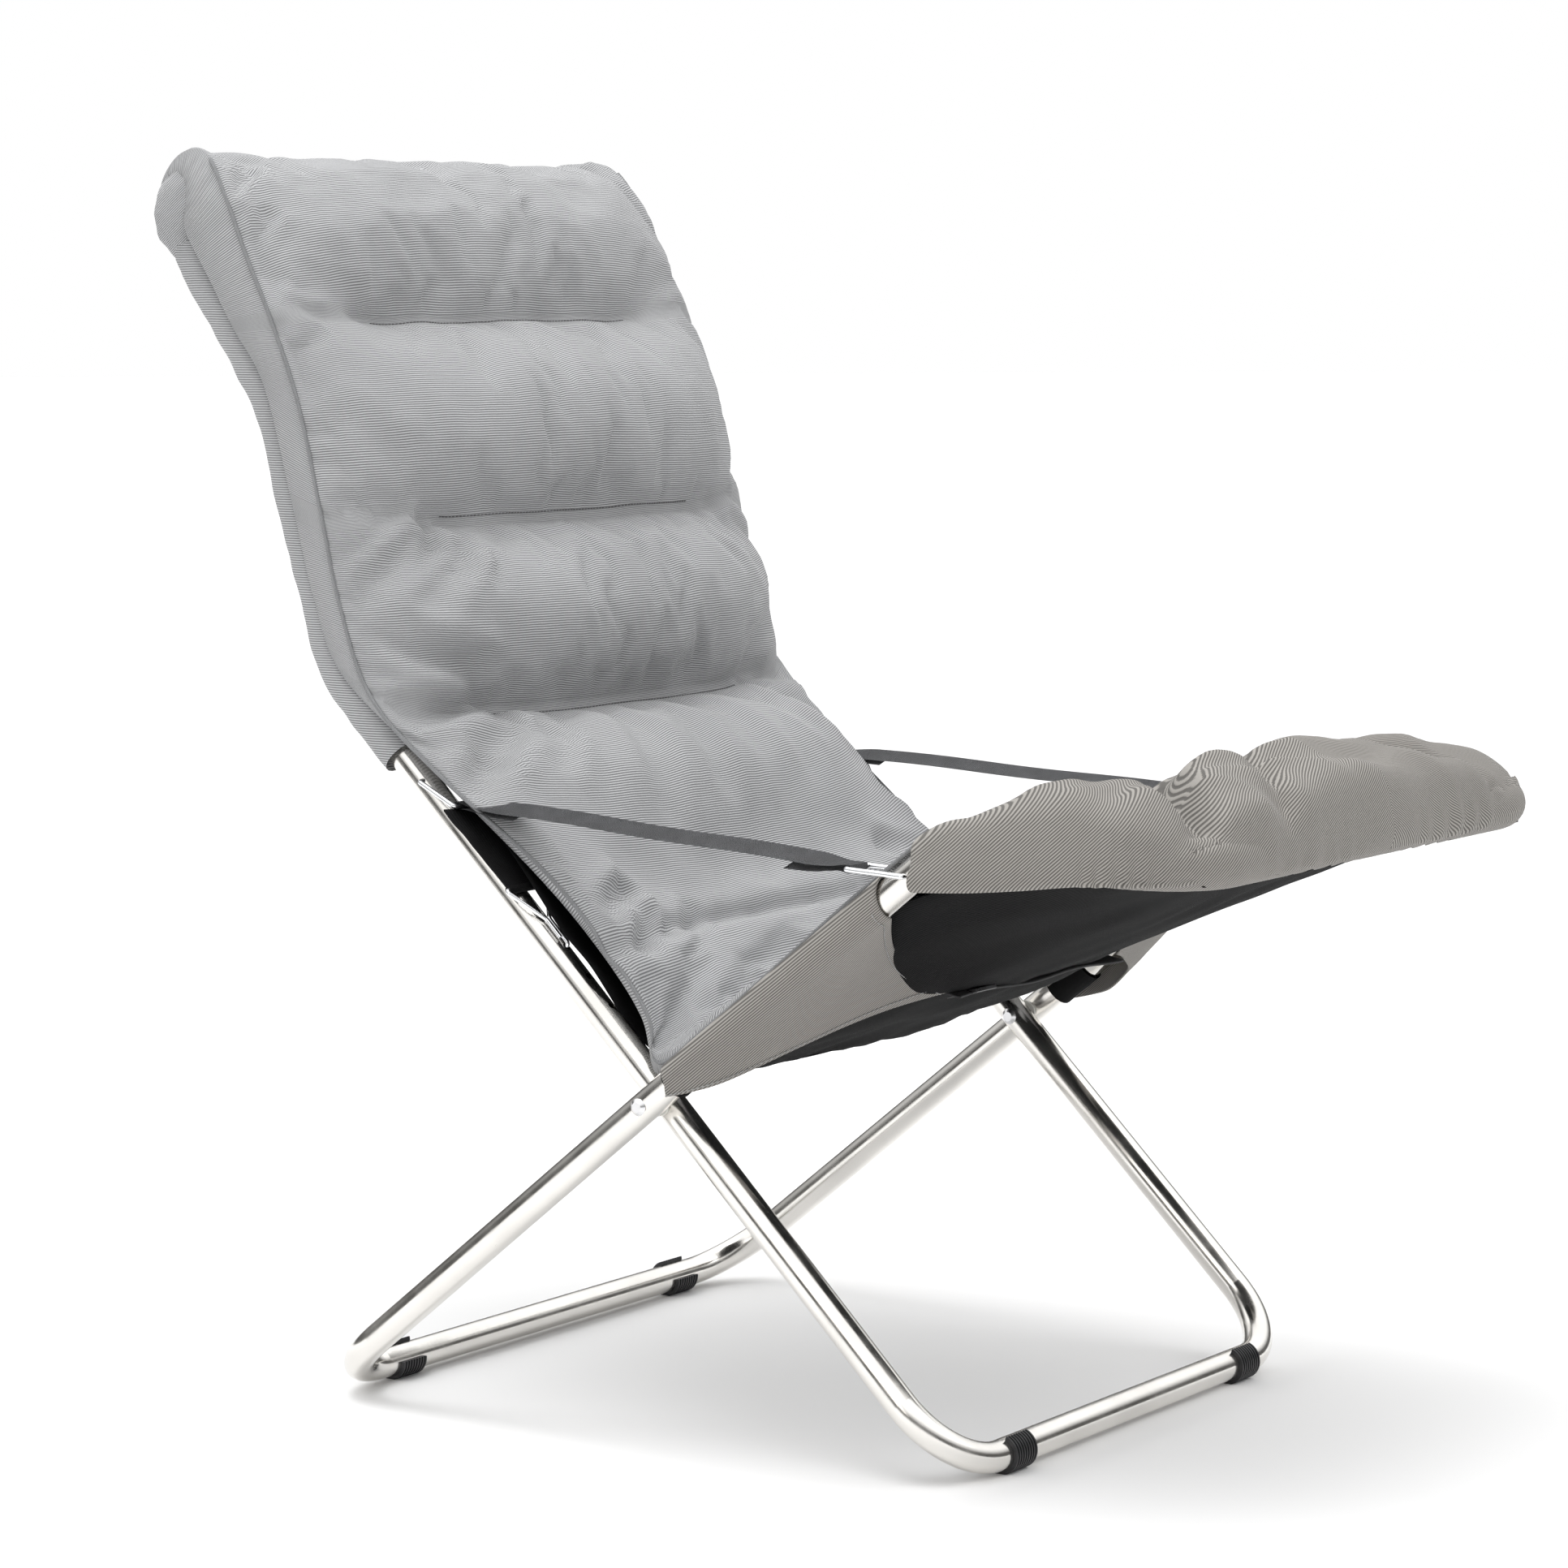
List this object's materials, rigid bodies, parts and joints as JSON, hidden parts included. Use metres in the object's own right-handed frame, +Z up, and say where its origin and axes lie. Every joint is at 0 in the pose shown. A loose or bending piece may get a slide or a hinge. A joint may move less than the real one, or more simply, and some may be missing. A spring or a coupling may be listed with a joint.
{
  "type": "padded folding relax chair",
  "caption": "Padded folding lounge chair on two crossed bent-tube frames, with a hammock cover, webbing arm straps on wire links and clip feet.",
  "frame": {"origin": "on the floor, under the middle of the chair's overall width and depth", "axes": "+Z up; the sitter faces -Y; X runs across the chair, which is symmetric about X = 0"},
  "size_m": [0.6148, 1.022, 1.0454],
  "materials": {
    "polished_tube": "bright steel tube, slightly warm",
    "sleeve_steel": "plain turned",
    "rivet_steel": "bright domed heads",
    "washer_nylon": "natural nylon",
    "foot_plastic": "black, ribbed",
    "link_wire": "zinc plated wire",
    "strap_webbing": "dark grey webbing, black below",
    "sling_cloth": "black fine rib",
    "cover_cloth": "light grey two-tone fine rib",
    "side_cloth": "warmer grey fine rib",
    "pocket_cloth": "grey cloth",
    "strap_black": "thin black webbing",
    "buckle_plastic": "black slide buckle"
  },
  "bodies": {
    "back_frame": {"back_leg_tube": "polished_tube", "back_head_tube": "polished_tube", "back_joint_sleeves": "sleeve_steel", "back_joint_rivets": "rivet_steel", "pivot_rivet_left": "rivet_steel", "pivot_rivet_right": "rivet_steel", "pivot_washer_left": "washer_nylon", "pivot_washer_right": "washer_nylon", "front_foot_left": "foot_plastic", "front_foot_right": "foot_plastic", "back_pad": "cover_cloth", "top_pocket": "pocket_cloth", "back_sling": "sling_cloth", "hammock_pad": "cover_cloth", "hammock_sling": "sling_cloth", "sling_wing_left": "sling_cloth", "sling_wing_right": "sling_cloth", "arm_strap_left": "strap_webbing", "arm_strap_right": "strap_webbing"},
    "seat_frame": {"seat_leg_tube": "polished_tube", "seat_front_tube": "polished_tube", "seat_joint_sleeves": "sleeve_steel", "seat_joint_rivets": "rivet_steel", "rear_foot_left": "foot_plastic", "rear_foot_right": "foot_plastic", "seat_pad": "cover_cloth", "front_hood": "side_cloth", "side_wrap_left": "side_cloth", "side_wrap_right": "side_cloth", "seat_sling": "sling_cloth", "sling_tab_left": "sling_cloth", "sling_tab_right": "sling_cloth", "under_strap": "strap_black", "strap_buckle": "buckle_plastic"},
    "arm_link_rear_left": {"arm_link_rear_left": "link_wire"},
    "arm_link_front_left": {"arm_link_front_left": "link_wire"},
    "sling_hook_left": {"sling_hook_left": "link_wire"},
    "arm_link_rear_right": {"arm_link_rear_right": "link_wire"},
    "arm_link_front_right": {"arm_link_front_right": "link_wire"},
    "sling_hook_right": {"sling_hook_right": "link_wire"}
  },
  "joints": [
    {"name": "fold", "type": "hinge", "parent": "back_frame", "child": "seat_frame", "pos_m": [0, -0.01324, 0.279], "axis": [-1, 0, 0], "range_deg": [0, 80], "deforming": ["hammock_pad", "hammock_sling", "sling_wing_left", "sling_wing_right", "arm_strap_left", "arm_strap_right"]},
    {"name": "rear_link_swing_left", "type": "hinge", "parent": "back_frame", "child": "arm_link_rear_left", "pos_m": [0.2625, 0.22435, 0.52089], "axis": [-1, 0, 0], "range_deg": [0, 12]},
    {"name": "front_link_swing_left", "type": "hinge", "parent": "seat_frame", "child": "arm_link_front_left", "pos_m": [0.29, -0.26332, 0.47864], "axis": [-1, 0, 0], "range_deg": [0, 16]},
    {"name": "sling_hook_tilt_left", "type": "hinge", "parent": "back_frame", "child": "sling_hook_left", "pos_m": [0.2625, 0.08684, 0.39403], "axis": [1, 0, 0], "range_deg": [0, 12]},
    {"name": "rear_link_swing_right", "type": "hinge", "parent": "back_frame", "child": "arm_link_rear_right", "pos_m": [-0.2625, 0.22435, 0.52089], "axis": [-1, 0, 0], "range_deg": [0, 12]},
    {"name": "front_link_swing_right", "type": "hinge", "parent": "seat_frame", "child": "arm_link_front_right", "pos_m": [-0.29, -0.26332, 0.47864], "axis": [-1, 0, 0], "range_deg": [0, 16]},
    {"name": "sling_hook_tilt_right", "type": "hinge", "parent": "back_frame", "child": "sling_hook_right", "pos_m": [-0.2625, 0.08684, 0.39403], "axis": [1, 0, 0], "range_deg": [0, 12]}
  ],
  "couplings": [
    {"joint": "rear_link_swing_left", "follows": "fold", "ratio": 0.15},
    {"joint": "front_link_swing_left", "follows": "fold", "ratio": 0.2},
    {"joint": "sling_hook_tilt_left", "follows": "fold", "ratio": 0.15},
    {"joint": "rear_link_swing_right", "follows": "fold", "ratio": 0.15},
    {"joint": "front_link_swing_right", "follows": "fold", "ratio": 0.2},
    {"joint": "sling_hook_tilt_right", "follows": "fold", "ratio": 0.15}
  ]
}
